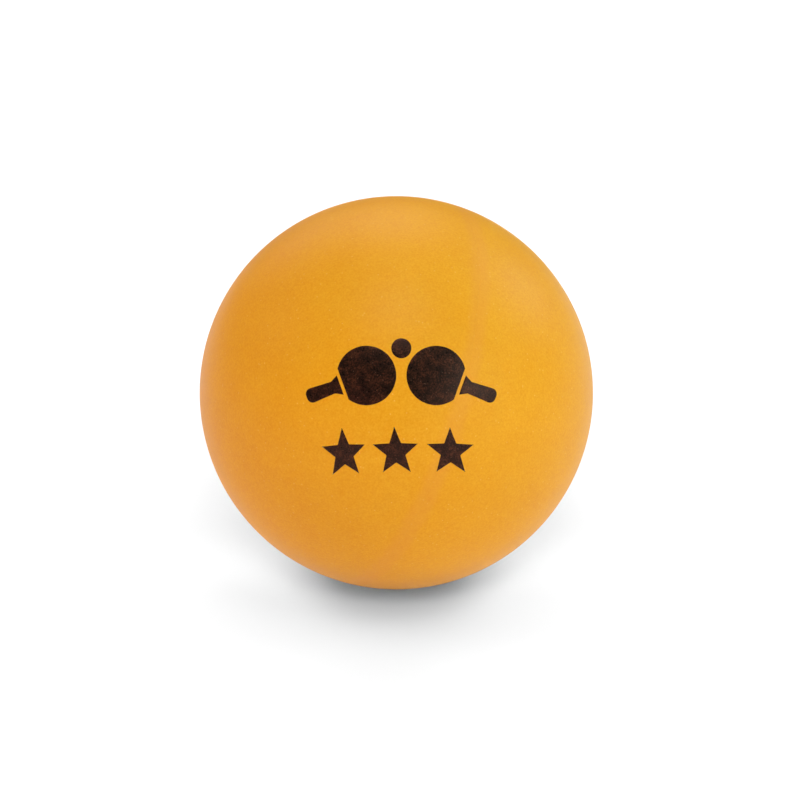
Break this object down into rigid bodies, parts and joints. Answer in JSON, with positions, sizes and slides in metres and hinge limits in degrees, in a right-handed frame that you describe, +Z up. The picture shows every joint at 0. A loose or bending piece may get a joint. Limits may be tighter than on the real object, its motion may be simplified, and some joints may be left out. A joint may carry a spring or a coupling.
{
  "type": "table tennis ball",
  "caption": "Hollow matt orange ball, two half shells cemented in a lap joint, with a bats-and-ball pictogram over a row of stars, for rallying across a table.",
  "frame": {"origin": "the ball's centre", "axes": "+Z up as the ball lies, so the floor touches it at Z = -20 mm; the print faces -Y, raised 20 degrees, with +X to its right; the seam's axis points 12.7 degrees behind +X and 20.7 degrees below it"},
  "size_m": [0.04, 0.04, 0.04],
  "materials": {
    "shell_plastic": "orange styrene copolymer, tumbled to a fine matt grain",
    "seam_cement": "solvent cement, the same orange a little paler, buffed flush with the skin",
    "print_ink": "brown-black pad-printing ink, semi-matt and thin enough to mottle"
  },
  "bodies": {
    "root": {"left_half_shell": "shell_plastic", "right_half_shell": "shell_plastic", "seam_cement": "seam_cement", "bat_print_left": "print_ink", "bat_print_right": "print_ink", "ball_print": "print_ink", "star_print_left": "print_ink", "star_print_middle": "print_ink", "star_print_right": "print_ink"}
  },
  "joints": []
}
